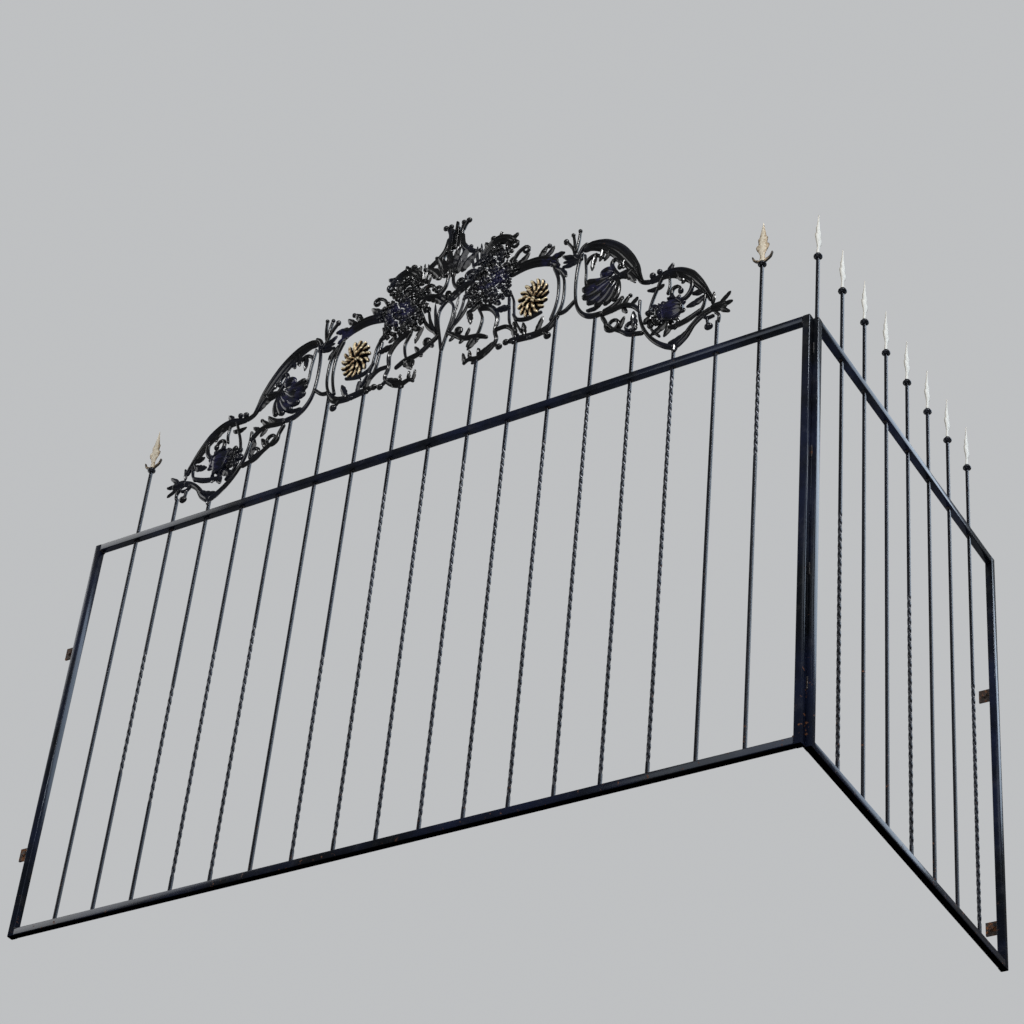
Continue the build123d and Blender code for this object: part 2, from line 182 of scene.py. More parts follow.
# an eased end: its length as a share of TUBE_CORNER, and its width as a share of the tube's
END_LENGTH = 0.3
END_WIDTH = 0.96
TUBES = ["front_top_rail", "front_bottom_rail", "front_left_stile", "front_right_stile",
         "side_near_stile", "side_far_stile", "side_bottom_rail", "side_top_rail"]
DUST = (0.30, 0.29, 0.27, 1.0)
DARK_RUST = (0.060, 0.022, 0.010, 1.0)
OCHRE_RUST = (0.26, 0.10, 0.035, 1.0)
# below this height rust spots come more often
RUST_HEIGHT = 0.45
MATT = 0.85
BUMP_HEIGHT = 0.0006


def noise(tree, spot, scale, detail, rough=0.5):
    """Soft noise from 0 to 1 over the place on the object."""
    return put(tree, "ShaderNodeTexNoise", Vector=spot, Scale=scale, Detail=detail, Roughness=rough)


def ramp(tree, share, *stops):
    """A colour ramp. Each stop is a place from 0 to 1 and a colour: first, last, then any between."""
    node = put(tree, "ShaderNodeValToRGB", Fac=share)
    elements = node.color_ramp.elements
    for k, (place, colour) in enumerate(stops):
        stop = elements[k] if k < 2 else elements.new(place)
        stop.position = place
        stop.color = colour
    return node


def new_paint(name):
    """A new material, its empty node tree, and the place on the object in metres."""
    paint = bpy.data.materials.new(name)
    tree = new_tree(paint)
    return paint, tree, put(tree, "ShaderNodeTexCoord").outputs["Object"]


def coat(tree, colour, rough, strength, height, **more):
    """Ends the tree of a paint with its shader, whose surface is bumped by a height from 0 to 1."""
    bump = put(tree, "ShaderNodeBump", Strength=strength, Distance=BUMP_HEIGHT, Height=height)
    shader = put(tree, "ShaderNodeBsdfPrincipled", Base_Color=colour, Roughness=rough, Normal=bump, **more)
    put(tree, "ShaderNodeOutputMaterial", Surface=shader)


def enamel(name, deep, sheen, rough, rust, rust_low, dust, grain, peel, tint):
    """Sprayed enamel over steel: the deep colour shifts towards the sheen colour in soft clouds, which on
    the tubes also stand in for sky reflected in the paint, a painted reflection; with dust in thin veils and
    rust in small spots, more of them near the floor. Rust starts at this level of its noise, grain is the
    scale of the peel, and tint colours the shine."""
    paint, tree, spot = new_paint(name)
    clouds = spread(tree, noise(tree, spot, 5.0, 3.0, 0.6), 0.42, 0.66)
    veil = spread(tree, noise(tree, spot, 26.0, 6.0, 0.72), 0.52, 0.82, 0.0, dust)
    dusty = blend(tree, veil, blend(tree, clouds, deep, sheen), DUST)
    height = put(tree, "ShaderNodeSeparateXYZ", Vector=spot).outputs["Z"]
    low = spread(tree, height, RUST_HEIGHT, 0.0, 0.0, rust_low)
    spots = reckon(tree, "ADD", noise(tree, spot, 70.0, 5.0, 0.65), low)
    rusted = spread(tree, spots, rust, rust + 0.06)
    rust_colour = ramp(tree, noise(tree, spot, 220.0, 3.0), (0.35, DARK_RUST), (0.68, OCHRE_RUST))
    dull = spread(tree, reckon(tree, "MAXIMUM", veil, rusted), 0.0, 1.0, rough, MATT)
    surface = reckon(tree, "ADD", noise(tree, spot, grain, 2.0), reckon(tree, "MULTIPLY", rusted, 1.5))
    coat(tree, blend(tree, rusted, dusty, rust_colour), dull, peel, surface, Specular_IOR_Level=0.32,
         Specular_Tint=tint)
    return paint


# the tubes' sheen clouds: partly the paint's blue tone, partly a painted reflection of sky
tube_enamel = enamel("tube_enamel", (0.0035, 0.0042, 0.006, 1.0), (0.008, 0.011, 0.028, 1.0), rough=0.17,
                     rust=0.70, rust_low=0.08, dust=0.07, grain=260.0, peel=0.10,
                     tint=(0.74, 0.84, 1.0, 1.0))


def ring_mesh(rings):
    """Points and faces of a closed skin. rings[i, j] is point j of ring i; each ring is joined to
    the next, and both ends close on the middle of their ring."""
    count, around = rings.shape[:2]
    points = np.concatenate([rings.reshape(-1, 3), rings[:1].mean(axis=1), rings[-1:].mean(axis=1)])
    i, j = np.meshgrid(np.arange(count - 1), np.arange(around), indexing="ij")
    k = (j + 1) % around
    quads = np.stack([i * around + j, i * around + k, (i + 1) * around + k, (i + 1) * around + j], axis=-1)
    edge = np.arange(around)
    following = (edge + 1) % around
    last = (count - 1) * around
    first_cap = np.stack([following, edge, np.full(around, count * around)], axis=-1)
    last_cap = np.stack([last + edge, last + following, np.full(around, count * around + 1)], axis=-1)
    return points, quads.reshape(-1, 4), np.concatenate([first_cap, last_cap])


def outward(points, quads, corners):
    """The same skin with its faces pointing outwards: the sum of a . (b x c) over its triangles
    is six times its volume, and is negative where the skin is inside out."""
    middle = points - points.mean(axis=0)
    thirds = np.concatenate([quads[:, [0, 1, 2]], quads[:, [0, 2, 3]], corners])
    a, b, c = middle[thirds[:, 0]], middle[thirds[:, 1]], middle[thirds[:, 2]]
    if np.einsum("ij,ij->", a, np.cross(b, c)) < 0:
        return points, quads[:, ::-1], corners[:, ::-1]
    return points, quads, corners


def make_piece(name, skins, material, replaced=(), crease=35.0, relief=None):
    """One object from closed skins, riding on the frame. Edges sharper than the crease angle stay sharp.
    relief is a level from 0 to 1 for each point, mostly its height in the relief, which the material reads
    to paint highlight and shade."""
    points, faces, start = [], [], 0
    for skin in skins:
        place, quads, corners = outward(*skin)
        points.append(place)
        faces += (quads + start).tolist() + (corners + start).tolist()
        start += len(place)
    mesh = bpy.data.meshes.new(name)
    mesh.from_pydata(np.concatenate(points).tolist(), [], faces)
    mesh.polygons.foreach_set("use_smooth", np.ones(len(faces), bool))
    mesh.set_sharp_from_angle(angle=np.radians(crease))
    if relief is not None:
        heights = mesh.attributes.new("relief", "FLOAT", "POINT")
        heights.data.foreach_set("value", np.concatenate(relief).astype(np.float32))
    mesh.update()
    mesh.materials.append(material)
    piece = bpy.data.objects.new(name, mesh)
    scene.collection.objects.link(piece)
    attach(piece, "root")
    if replaced:
        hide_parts(*replaced)


def rounded_square(half_a, half_b, radius, steps):
    """Corner points of a rounded rectangle: each quarter circle is centre + radius (cos a, sin a)."""
    angle = (np.arange(4)[:, None] * 90.0 + np.linspace(0.0, 90.0, steps)[None, :]).ravel()
    sign = np.repeat([(1, 1), (-1, 1), (-1, -1), (1, -1)], steps, axis=0)
    centre = sign * np.array([half_a - radius, half_b - radius])
    return centre + radius * np.stack([np.cos(np.radians(angle)), np.sin(np.radians(angle))], axis=1)


def tube_skin(low, high):
    """A rounded square tube along the longest side of its box, with slightly eased ends."""
    low, high = np.array(low), np.array(high)
    size, middle = high - low, (low + high) / 2
    along = int(np.argmax(size))
    one, two = [k for k in range(3) if k != along]
    section = rounded_square(size[one] / 2, size[two] / 2, TUBE_CORNER, CORNER_STEPS)
    eased = TUBE_CORNER * END_LENGTH
    ends = np.array([0.0, eased, size[along] - eased, size[along]]) + low[along]
    width = np.array([END_WIDTH, 1.0, 1.0, END_WIDTH])
    rings = np.zeros((len(ends), len(section), 3))
    rings[:, :, along] = ends[:, None]
    rings[:, :, one] = middle[one] + width[:, None] * section[None, :, 0]
    rings[:, :, two] = middle[two] + width[:, None] * section[None, :, 1]
    return ring_mesh(rings)


for node in TUBES:
    make_piece(node + "_tube", [tube_skin(*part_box(node))], tube_enamel, [node])


# Upright bars: 8 mm square steel bar. Some are twisted cold for part of their height, one turn in
# 100 mm, and the rest are plain. They pass through the top rail and carry the crest or a spear.

MIDDLE_X = 0.010
FRONT_Y = -0.532
SIDE_X = 1.114
SIDE_FIRST_Y = -0.502
CORNER_Y = -0.512
RAIL_TOP = 1.230
PITCH = 0.120
SIDE_PITCH = 0.12875
BAR_HALF = 0.004
BAR_CORNER = 0.0011
BAR_FOOT = 0.019
SPEAR_FOOT = 0.205
# how far a bar reaches into its spear's collar, and the corner rod into the rail
IN_COLLAR = 0.004
IN_RAIL = 0.002
TWIST_TURN = 0.100
TWIST_STEP = 0.0042
TWIST_WAVER = 0.008
# front bars, numbered from the left: first and last of each group
BAR_GROUPS = (("left", 1, 6), ("middle", 7, 11), ("right", 12, 17))
MIDDLE_BAR = 9
LAST_BAR = 17
SIDE_BARS = 7
# number of the bar: bottom and top of its twisted stretch
FRONT_TWISTS = {2: (0.42, 0.8), 3: (0.3, 0.66), 4: (0.06, 0.74), 5: (0.05, 0.78), 7: (0.05, 0.62),
                8: (0.05, 1.1), 9: (0.05, 1.12), 10: (0.05, 1.12), 11: (0.05, 1.12), 12: (0.05, 1.1),
                13: (0.05, 1.18), 14: (0.05, 1.18), 15: (0.05, 1.18), 17: (0.84, 1.11)}
SIDE_TWISTS = {1: (0.05, 0.74), 4: (0.05, 0.76), 7: (0.05, 0.74)}
# steps from the middle bar: how far the bar stands above the top rail
CREST_RISES = {0: 0.317, 1: 0.235, 2: 0.254, 3: 0.294, 4: 0.248, 5: 0.143, 6: 0.040, 7: 0.086, 8: 0.226}

bar_enamel = enamel("bar_enamel", (0.004, 0.004, 0.005, 1.0), (0.009, 0.010, 0.015, 1.0), rough=0.26,
                    rust=0.68, rust_low=0.06, dust=0.07, grain=150.0, peel=0.02,
                    tint=(0.80, 0.86, 1.0, 1.0))


def bar_skin(x, y, low, high, stretch=None):
    """A square bar. Over its twisted stretch it turns evenly, but for a waver of sin(2 pi s) (1 - s),
    by one turn in each TWIST_TURN of height, rounded to whole quarter turns."""
    height = np.array([low, high])
    turned = np.zeros(2)
    if stretch:
        bottom, top = stretch
        quarters = max(1, round((top - bottom) / TWIST_TURN * 4))
        inside = np.linspace(bottom, top, int((top - bottom) / TWIST_STEP) + 1)
        share = (inside - bottom) / (top - bottom)
        eased = share + TWIST_WAVER * np.sin(2 * np.pi * share) * (1 - share)
        height = np.concatenate([[low], inside, [high]])
        turned = np.concatenate([[0.0], eased, [1.0]]) * quarters * np.pi / 2
    section = rounded_square(BAR_HALF, BAR_HALF, BAR_CORNER, 3)
    cos, sin = np.cos(turned)[:, None], np.sin(turned)[:, None]
    rings = np.stack([x + section[None, :, 0] * cos - section[None, :, 1] * sin,
                      y + section[None, :, 0] * sin + section[None, :, 1] * cos,
                      np.repeat(height[:, None], len(section), axis=1)], axis=-1)
    return ring_mesh(rings)


bar_places = {number: MIDDLE_X + (number - MIDDLE_BAR) * PITCH for number in range(1, LAST_BAR + 1)}
front_bars = {number: bar_skin(x, FRONT_Y, BAR_FOOT, RAIL_TOP + CREST_RISES[abs(number - MIDDLE_BAR)],
                               FRONT_TWISTS.get(number)) for number, x in bar_places.items()}
for name, first, last in BAR_GROUPS:
    make_piece("front_bars_%s_twisted" % name, [front_bars[k] for k in range(first, last + 1)], bar_enamel,
               ["front_bars_" + name], crease=50.0)
side_places = SIDE_FIRST_Y + SIDE_PITCH * np.arange(1, SIDE_BARS + 1)
side_bar_top = RAIL_TOP + SPEAR_FOOT + IN_COLLAR
side_bars = [bar_skin(SIDE_X, y, BAR_FOOT, side_bar_top, SIDE_TWISTS.get(k + 1))
             for k, y in enumerate(side_places)]
make_piece("side_bars_twisted", side_bars, bar_enamel, ["side_bars"], crease=50.0)
make_piece("corner_rod_bar", [bar_skin(SIDE_X, CORNER_Y, RAIL_TOP - IN_RAIL, side_bar_top)], bar_enamel,
           ["corner_rod"], crease=50.0)


# Weld beads: small lumps of weld where each bar meets a rail and where the tubes meet, painted
# over and rusting in spots.

# lumps at each side of a bar: distance beside it, on the front also distance behind it, height,
# half sizes, and two factors that give each lump a shape of its own
FRONT_BEADS = [(0.0055, 0.0, 0.0205, (0.0034, 0.0045, 0.0028), 1, 1),
               (0.0055, 0.001, RAIL_TOP - 0.0205, (0.0034, 0.0045, 0.0030), 1, 0),
               (0.0050, 0.0, RAIL_TOP + 0.0005, (0.0026, 0.0040, 0.0020), 2, 0)]
SIDE_BEADS = [(0.0060, 0.0205, (0.0045, 0.0034, 0.0030), 1, 1),
              (0.0062, RAIL_TOP - 0.0215, (0.0050, 0.0046, 0.0042), 1, 0),
              (0.0052, RAIL_TOP + 0.0008, (0.0044, 0.0030, 0.0026), 3, 0)]
CORNER_BEAD = 0.0030
# short seams across the corners of the front frame
SEAM_PLACES = [(x, z) for x in (-1.070, 1.090) for z in (0.020, RAIL_TOP - 0.020)]
SEAM_START, SEAM_STEP, SEAM_LUMPS = -0.540, 0.004, 5
# upright seams between the two frames
UPRIGHT_X, UPRIGHT_Y = 1.1115, -0.5215
UPRIGHT_FEET = (0.15, 0.46, 0.80, 1.12)
UPRIGHT_STEP, UPRIGHT_LUMPS, UPRIGHT_BEAD = 0.0055, 6, 0.0040


def full_turn(sides):
    """Angles round a full turn, one for each side."""
    return np.arange(sides) * 2 * np.pi / sides


def lump_skin(centre, size, seed):
    """A small uneven ball: radius 1 + 0.18 sin(3a + seed) cos(2b + seed) times the size."""
    rows, around = 5, 8
    high = np.linspace(-80.0, 80.0, rows)[:, None] * np.pi / 180
    turn = full_turn(around)[None, :]
    radius = 1 + 0.18 * np.sin(3 * turn + seed) * np.cos(2 * high + seed)
    rings = np.stack([radius * np.cos(high) * np.cos(turn), radius * np.cos(high) * np.sin(turn),
                      radius * np.sin(high)], axis=-1)
    return ring_mesh(np.array(centre) + rings * np.array(size))


beads = []
for number, x in bar_places.items():
    for side in (-1, 1):
        for beside, behind, z, size, by_bar, by_side in FRONT_BEADS:
            seed = by_bar * number + by_side * side
            beads.append(lump_skin((x + side * beside, FRONT_Y + behind, z), size, seed))
for number, y in enumerate(side_places):
    for side in (-1, 1):
        for beside, z, size, by_bar, by_side in SIDE_BEADS:
            beads.append(lump_skin((SIDE_X, y + side * beside, z), size, by_bar * number + by_side * side))
for x, z in SEAM_PLACES:
    for k in range(SEAM_LUMPS):
        beads.append(lump_skin((x, SEAM_START + SEAM_STEP * k, z), (CORNER_BEAD,) * 3, k + 10 * x))
for z in UPRIGHT_FEET:
    for k in range(UPRIGHT_LUMPS):
        beads.append(lump_skin((UPRIGHT_X, UPRIGHT_Y, z + UPRIGHT_STEP * k),
                               (CORNER_BEAD, CORNER_BEAD, UPRIGHT_BEAD), k + 7 * z))
weld_rust = enamel("weld_rust", (0.009, 0.009, 0.011, 1.0), (0.022, 0.016, 0.014, 1.0), rough=0.45,
                   rust=0.62, rust_low=0.10, dust=0.2, grain=420.0, peel=0.7, tint=(1.0, 1.0, 1.0, 1.0))
make_piece("weld_beads", beads, weld_rust, crease=80.0)


# Spear heads: flat castings with a ridge and a stepped notch, painted a silver gilt with a little wear, with
# painted shade at its edges and a painted highlight along its ridge, on a dark collar at the top of each
# bar. The ones on the front have two curled leaves at the foot.

BLADE_LENGTH = 0.135
BLADE_HALF = 0.019
BLADE_SIDES = 12
BLADE_STEP = 0.03
COLLAR_RADIUS = 0.0115
COLLAR_HEIGHT = 0.015
COLLAR_SIDES = 16
COLLAR_STEP = 0.06
# share of the length, share of the half width
BLADE_OUTLINE = np.array([(0.0, 0.52), (0.04, 0.50), (0.10, 0.38), (0.17, 0.36), (0.24, 0.52), (0.31, 0.82),
                          (0.37, 0.98), (0.40, 1.0), (0.43, 0.93), (0.46, 0.64), (0.52, 0.68), (0.58, 0.74),
                          (0.61, 0.69), (0.64, 0.50), (0.76, 0.34), (0.88, 0.17), (0.97, 0.05), (1.0, 0.02)])
COLLAR_OUTLINE = np.array([(0.0, 0.60), (0.12, 0.70), (0.24, 0.74), (0.30, 0.95), (0.45, 1.0), (0.62, 0.97),
                           (0.70, 0.80), (0.84, 0.72), (1.0, 0.62)])


def outline_levels(outline, step):
    """Heights and widths along an outline, with at most one step between two levels."""
    parts = [np.linspace(a, b, max(1, int(np.ceil((b - a) / step))), endpoint=False)
             for a, b in zip(outline[:-1, 0], outline[1:, 0])]
    share = np.concatenate(parts + [outline[-1:, 0]])
    return share, np.interp(share, *outline.T)


def blade_skin(x, y, foot, across):
    """A spear blade: at each height its section is a flat lozenge, |cos a|^1.25 of the half width
    by |sin a|^1.25 of the ridge's height. across is the direction of its flat side."""
    share, width = outline_levels(BLADE_OUTLINE, BLADE_STEP)
    width = width * BLADE_HALF
    turn = full_turn(BLADE_SIDES)
    lozenge = np.stack([np.sign(np.cos(turn)) * np.abs(np.cos(turn)) ** 1.25,
                        np.sign(np.sin(turn)) * np.abs(np.sin(turn)) ** 1.25], axis=1)
    ridge = 0.0010 + 0.12 * width
    a = width[:, None] * lozenge[None, :, 0]
    b = ridge[:, None] * lozenge[None, :, 1]
    across = np.array(across, float)
    facing = np.array([-across[1], across[0]])
    rings = np.stack([x + a * across[0] + b * facing[0], y + a * across[1] + b * facing[1],
                      foot + np.repeat(share[:, None] * BLADE_LENGTH, BLADE_SIDES, axis=1)], axis=-1)
    return ring_mesh(rings)


def blade_relief(skin):
    """From 0.3 at the blade's two edges to 1 along its ridge, with the foot's end at 0.2 and the tip's at
    0.5. The gilt reads it to paint shade at the edges and a highlight along the ridge."""
    rings = skin[0][:-2].reshape(-1, BLADE_SIDES, 3)
    share = np.tile(np.abs(np.sin(full_turn(BLADE_SIDES))), (len(rings), 1))
    return np.concatenate([(0.30 + 0.70 * share).ravel(), [0.2, 0.5]])


def collar_skin(x, y, foot):
    """A turned collar: its radius over the height follows COLLAR_OUTLINE."""
    share, reach = outline_levels(COLLAR_OUTLINE, COLLAR_STEP)
    reach = reach * COLLAR_RADIUS
    turn = full_turn(COLLAR_SIDES)
    rings = np.stack([x + reach[:, None] * np.cos(turn), y + reach[:, None] * np.sin(turn),
                      np.repeat(foot + share[:, None] * COLLAR_HEIGHT, COLLAR_SIDES, axis=1)], axis=-1)
    return ring_mesh(rings)


def gilt(name, bright, shade, hollow_shade, metal, rough, low, high, uneven):
    """Metallic paint on a casting, with uneven wear in noise patches, and light and shade painted in by the
    relief attribute: a painted highlight on the ridges, painted shade in the shade colour on the slopes and
    the deepest painted shade in the hollows."""
    paint, tree, spot = new_paint(name)
    relief = put(tree, "ShaderNodeAttribute", attribute_name="relief").outputs["Fac"]
    patches = noise(tree, spot, 90.0, 5.0, 0.7)
    level = reckon(tree, "ADD", relief, spread(tree, patches, 0.3, 0.7, -uneven, uneven))
    # painted light: high relief takes the painted highlight, the middle the painted shade of the slopes, low
    # relief the deepest painted shade
    colour = ramp(tree, level, (low, hollow_shade), (high, bright), ((low + high) / 2, shade))
    dull = spread(tree, patches, 0.0, 1.0, rough, rough + 0.3)
    coat(tree, colour, dull, 0.15, noise(tree, spot, 420.0, 3.0), Metallic=metal)
    return paint


# a lit, a shaded and a darkest copy of one silver gilt: painted highlight, painted shade, deepest painted
# shade
spear_paint = gilt("spear_paint", (0.76, 0.73, 0.66, 1.0), (0.42, 0.38, 0.31, 1.0), (0.04, 0.03, 0.02, 1.0),
                   metal=0.20, rough=0.40, low=0.22, high=0.80, uneven=0.08)
side_heads = [CORNER_Y] + list(side_places)
side_collar = RAIL_TOP + SPEAR_FOOT
blades = [blade_skin(SIDE_X, y, side_collar + COLLAR_HEIGHT, (0.0, 1.0)) for y in side_heads]
make_piece("side_spear_blades", blades, spear_paint, ["side_finials"], crease=25.0,
           relief=[blade_relief(skin) for skin in blades])
make_piece("side_spear_collars", [collar_skin(SIDE_X, y, side_collar) for y in side_heads], bar_enamel)


# Crest: grey iron castings, each a flat scroll with leaves, flowers and balls in relief on its
# front, welded to the bars and to each other. It is drawn in millimetres from the middle bar and
# the top rail, right half only, and the left half is its mirror image.

# the crest is drawn 752 mm high and stands 790 mm high
CREST_UP = 790.0 / 752.0
CAST_FRONT = 7.5
CAST_BACK = 5.0
STEM_STEP = 7.0
# closer points near the ends of a stem, at these shares of half its width
STEM_ENDS = np.array([0.0, 0.06, 0.22, 0.5, 0.9])
# kinds of element. A stem has points, widths along it and a depth; a leaf has a root, a tip, a
# width, a bow, a depth, a lift and whether it is a petal; a ball has a centre, half sizes, a depth
# and ribs; and a flower has a centre, half sizes, rows, a swirl and a depth. Depth 1 is the usual.
STEM, LEAF, BALL, FLOWER = range(4)


def run_along(points, values):
    """A smooth line through the points and its values, taken at even distances with closer ones
    near the ends. From b to c, whose neighbours are a and d, it is half of
    2b + (c - a) t + (2a - 5b + 4c - d) t^2 + (3b - a - 3c + d) t^3. Also gives each distance and
    the whole length."""
    points = np.array(points, float)
    control = np.concatenate([points[:1], points, points[-1:]])
    share = np.linspace(0.0, len(points) - 1, 24 * (len(points) - 1) + 1)
    k = np.minimum(share.astype(int), len(points) - 2)
    t = (share - k)[:, None]
    a, b, c, d = control[k], control[k + 1], control[k + 2], control[k + 3]
    line = 0.5 * (2 * b + (c - a) * t + (2 * a - 5 * b + 4 * c - d) * t ** 2
                  + (3 * b - a - 3 * c + d) * t ** 3)
    value = np.interp(share / share[-1], np.linspace(0.0, 1.0, len(values)), values)
    distance = np.concatenate([[0.0], np.cumsum(np.hypot(*np.diff(line, axis=0).T))])
    total = distance[-1]
    steps = max(3, int(total / STEM_STEP))
    ease = STEM_ENDS * min(values[0], values[-1], total * 0.8) / 2
    taken = np.unique(np.concatenate([ease, np.linspace(0.0, total, steps + 1)[1:-1], total - ease]))
    line = np.stack([np.interp(taken, distance, line[:, 0]), np.interp(taken, distance, line[:, 1])], axis=1)
    return line, np.interp(taken, distance, value), taken, total


def closed_rings(flat, front, back):
    """Rings across a casting: over its front at these heights, and back along its rear."""
    upper = np.concatenate([flat, front[:, :, None]], axis=2)
    lower = np.concatenate([flat, back[:, :, None]], axis=2)
    return np.concatenate([upper, lower[:, -2:0:-1]], axis=1)


def closed_levels(level, rear):
    """Relief for the points of such rings: level on the front, and rear times it on the rear, which makes
    the rear darker in the paint: painted shade.
    """
    return np.concatenate([level, level[:, -2:0:-1] * rear], axis=1)


def strip_rings(line, half, front, back, lift):
    """A closed casting along a line. Across it t runs from -1 to 1 and a point is
    line + t half normal; front and back are its heights, lift raises both."""
    tangent = np.gradient(line, axis=0)
    tangent = tangent / np.hypot(*tangent.T)[:, None]
    normal = np.stack([-tangent[:, 1], tangent[:, 0]], axis=1)
    t = np.linspace(-1.0, 1.0, front.shape[1])
    flat = line[:, None, :] + (half[:, None] * t)[:, :, None] * normal[:, None, :]
    return closed_rings(flat, front + lift[:, None], back + lift[:, None])


def stem_rings(points, widths, depth=1.0):
    """A scroll stem: its section is a half oval front and a shallow back, sqrt(1 - t^2), with
    flutes 0.76 + 0.24 cos(pi n t) on a wide band, and its ends are rounded."""
    line, width, taken, total = run_along(points, widths)
    reach = np.maximum(np.minimum(taken, total - taken), 0.0) / np.maximum(width / 2, 1.0)
    end = np.sqrt(np.clip(1 - (1 - np.minimum(reach, 1.0)) ** 2, 0.004, 1.0))
    flutes = min(3, int(max(widths) / 11.0))
    t = np.linspace(-1.0, 1.0, 7 if flutes < 2 else 8 * flutes + 1)
    arch = np.sqrt(1 - t ** 2)
    groove = 0.76 + 0.24 * np.cos(np.pi * flutes * t) if flutes > 1 else np.ones_like(t)
    high = CAST_FRONT * depth * np.minimum(1.0, 0.55 + width / 40.0)
    front = (high * end)[:, None] * (arch * groove)[None, :]
    back = -(CAST_BACK * end)[:, None] * arch[None, :]
    rings = strip_rings(line, width / 2 * end, front, back, np.zeros(len(line)))
    # relief level: low in the flutes and at the edges, where the paint puts painted shade
    return rings, closed_levels(np.tile(arch * groove ** 3, (len(line), 1)), rear=0.6)


def leaf_rings(root, tip, width, bend, depth=1.0, rise=3.0, petal=False):
    """A leaf from root to tip, bowed by 4 s (1 - s) bend, with a tip that lifts by rise s^2. An
    acanthus leaf has half width s^0.5 (1 - s)^0.6 cut into round lobes |sin(pi n s)|^0.7, a midrib
    exp(-(t / 0.25)^2) and slanting veins. A petal is a plain arch with half width
    s^0.7 sqrt(1 - s^5)."""
    root, tip = np.array(root, float), np.array(tip, float)
    run = tip - root
    length = np.hypot(*run)
    across = np.array([-run[1], run[0]]) / length
    if petal:
        s = np.concatenate([[0.0], np.linspace(0.10, 0.88, max(3, int(length / 6.0))), [0.97, 1.0]])
    else:
        s = np.concatenate([[0.0, 0.015], np.linspace(0.05, 0.95, max(9, int(length / 2.6))), [0.985, 1.0]])
    line = root + run * s[:, None] + across * (4 * s * (1 - s) * bend)[:, None]
    t = np.linspace(-1.0, 1.0, 5 if petal and length < 24.0 else 9)
    arch = np.sqrt(1 - t ** 2)
    if petal:
        spindle = s ** 0.7 * np.sqrt(np.clip(1 - s ** 5, 0.0, 1.0))
        profile = arch
        vein = np.ones((len(s), len(t)))
        edge = 1.0
    else:
        lobes = 1.5 if width < 16 else round(length / 21.0) + 0.5
        spindle = s ** 0.5 * (1 - s) ** 0.6
        edge = 0.80 + 0.20 * np.abs(np.sin(np.pi * lobes * s)) ** 0.7
        profile = arch * (0.50 + 0.50 * np.exp(-(t / 0.25) ** 2))
        off_rib = np.abs(t)[None, :]
        vein = 1 - 0.30 * off_rib * np.cos(np.pi * (lobes * s[:, None] - 0.6 * off_rib)) ** 4
    spindle = spindle / spindle.max() + 0.012
    full = np.minimum(1.0, spindle * 1.4)
    high = CAST_FRONT * depth * np.minimum(1.0, 0.5 + width / 50.0) * full
    front = high[:, None] * profile[None, :] * vein
    back = -0.7 * CAST_BACK * full[:, None] * arch[None, :]
    rings = strip_rings(line, width / 2 * spindle * edge, front, back, rise * s ** 2)
    # relief level: lower at the edges, most of all on petals, and towards the root, where the paint puts
    # painted shade
    level = np.clip(profile[None, :] ** (2.2 if petal else 1.0) * vein * (0.6 + 0.4 * s[:, None]), 0, 1)
    return rings, closed_levels(level, rear=0.6)


def ball_rings(centre, half, depth=1.0, ribs=0):
    """A knob: an oval ball, cos(a) half across and sin(a) along, bulging to the front. Ribs are
    grooves 0.86 + 0.14 cos(pi n t) that run along it."""
    a = np.radians(np.linspace(-84.0, 84.0, 9))
    line = np.stack([centre[0] + half[0] * np.sin(a), np.full(len(a), float(centre[1]))], axis=1)
    t = np.sin(np.linspace(-np.pi / 2, np.pi / 2, max(9, 4 * ribs + 1)))
    arch = np.sqrt(1 - t ** 2) * (0.86 + 0.14 * np.cos(np.pi * ribs * t))
    flat = line[:, None, :] + (half[1] * np.cos(a)[:, None] * t)[:, :, None] * np.array([0.0, 1.0])
    high = np.minimum(CAST_FRONT * 1.25 * depth, 1.1 * min(half)) * np.cos(a)
    front = high[:, None] * arch[None, :]
    back = -(CAST_BACK * np.cos(a))[:, None] * np.sqrt(1 - t ** 2)[None, :]
    # relief level, falling towards the rim, where the paint puts painted shade
    level = np.tile(arch, (len(a), 1)) * np.cos(a)[:, None]
    return closed_rings(flat, front, back), closed_levels(level, rear=0.5)


def curl(centre, radius, start, sweep, close=0.4):
    """Points of a curl that winds in. At each share of the sweep they stand at the angle
    start + share sweep, in degrees, and radius (1 - (1 - close) share) from the centre."""
    share = np.linspace(0.0, 1.0, int(abs(sweep) / 36.0) + 1)
    angle = np.radians(start + sweep * share)
    reach = radius * (1 - (1 - close) * share)
    return np.stack([centre[0] + reach * np.cos(angle), centre[1] + reach * np.sin(angle)], axis=1).tolist()


def flower_rings(centre, half, rows, swirl, depth=1.0):
    """A flower: rows of petals round an oval heart, each row nearer and higher than the last. A
    row is (petals, inner share, outer share, petal width, lift). Petal k of n stands at
    2 pi (k + row / 2) / n + 0.35, and swirl bows it and turns its tip."""
    made = [ball_rings(centre, (half[0] * 0.17, half[1] * 0.15), 1.9 * depth)]
    for row, (petals, inner, outer, width, lift) in enumerate(rows):
        for k in range(petals):
            a = 2 * np.pi * (k + 0.5 * row) / petals + 0.35
            b = a + swirl * (outer - inner)
            root = (centre[0] + half[0] * inner * np.cos(a), centre[1] + half[1] * inner * np.sin(a))
            tip = (centre[0] + half[0] * outer * np.cos(b), centre[1] + half[1] * outer * np.sin(b))
            bow = -swirl * (outer - inner) * min(half) * 0.5
            rings, level = leaf_rings(root, tip, width, bow, depth, rise=2.5, petal=True)
            rings[:, :, 2] += lift
            made.append((rings, level))
    return made


